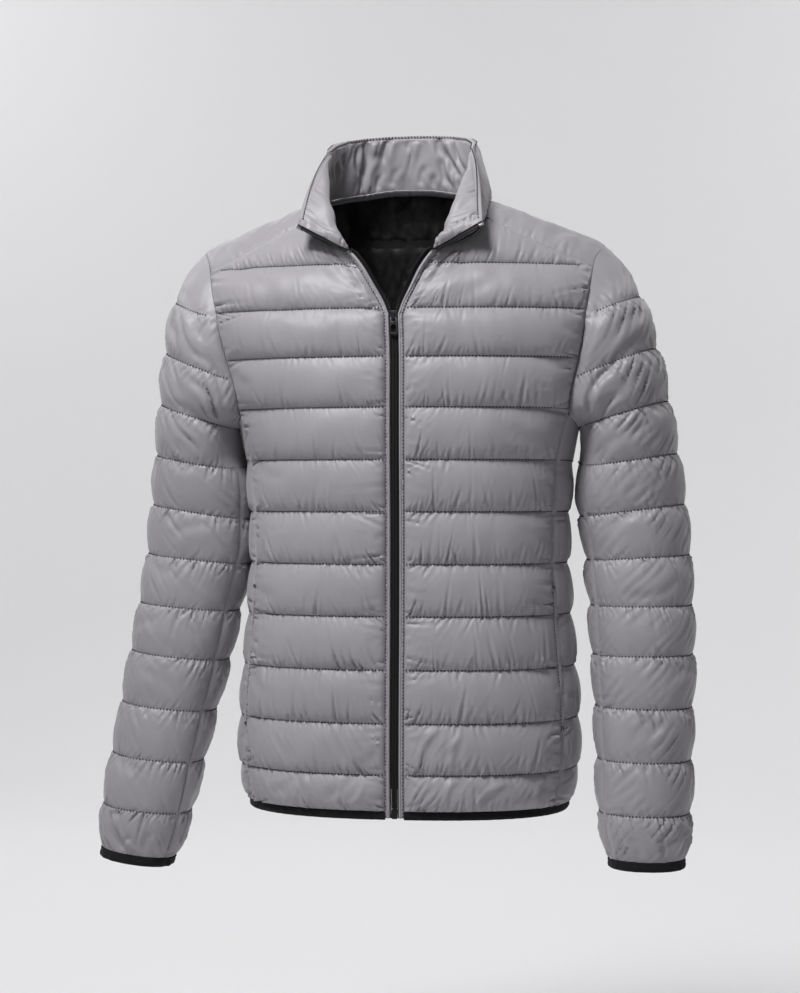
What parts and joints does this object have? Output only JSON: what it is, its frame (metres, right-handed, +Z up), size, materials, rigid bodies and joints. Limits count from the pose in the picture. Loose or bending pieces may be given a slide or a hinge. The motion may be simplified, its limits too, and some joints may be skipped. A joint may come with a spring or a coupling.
{
  "type": "puffer jacket",
  "caption": "Light quilted padded jacket with an open stand collar, a zip at the front, shoulder yokes and bound hem and cuffs, keeping the hollow form that a wearer gives it.",
  "frame": {"origin": "middle of the neck, at the height where the collar meets the shoulders: where a wearer's neck and shoulders hold the jacket up", "axes": "+Z up, -Y the way the front faces, +X the wearer's left"},
  "size_m": [0.648, 0.2436, 0.8059],
  "materials": {
    "shell": "thin woven nylon with a soft satin sheen, padded and quilted",
    "lining": "thin black woven lining",
    "binding": "matt black stretch binding and zip tape",
    "zip": "black nylon coil",
    "zip_metal": "dark grey painted metal"
  },
  "bodies": {
    "jacket": {"front_left": "shell", "front_right": "shell", "back": "shell", "side_left": "shell", "side_right": "shell", "yoke_left": "shell", "yoke_right": "shell", "sleeve_upper_left": "shell", "sleeve_upper_right": "shell", "sleeve_under_left": "shell", "sleeve_under_right": "shell", "collar_outer": "shell", "collar_facing": "shell", "placket_left": "shell", "placket_right": "shell", "lining_back": "lining", "hem_binding": "binding", "cuff_binding_left": "binding", "cuff_binding_right": "binding", "zip_tape_left": "binding", "zip_tape_right": "binding", "zip_chain": "zip", "zip_teeth_left": "zip", "zip_teeth_right": "zip", "zip_box": "zip", "zip_slider": "zip_metal", "zip_stop_left": "zip_metal", "zip_stop_right": "zip_metal"},
    "pull_tab": {"zip_pull": "zip_metal"}
  },
  "joints": [
    {"name": "pull_swing", "type": "hinge", "parent": "jacket", "child": "pull_tab", "pos_m": [-0.00175, -0.11309, -0.1326], "axis": [-1, 0, 0], "range_deg": [0, 130]}
  ]
}
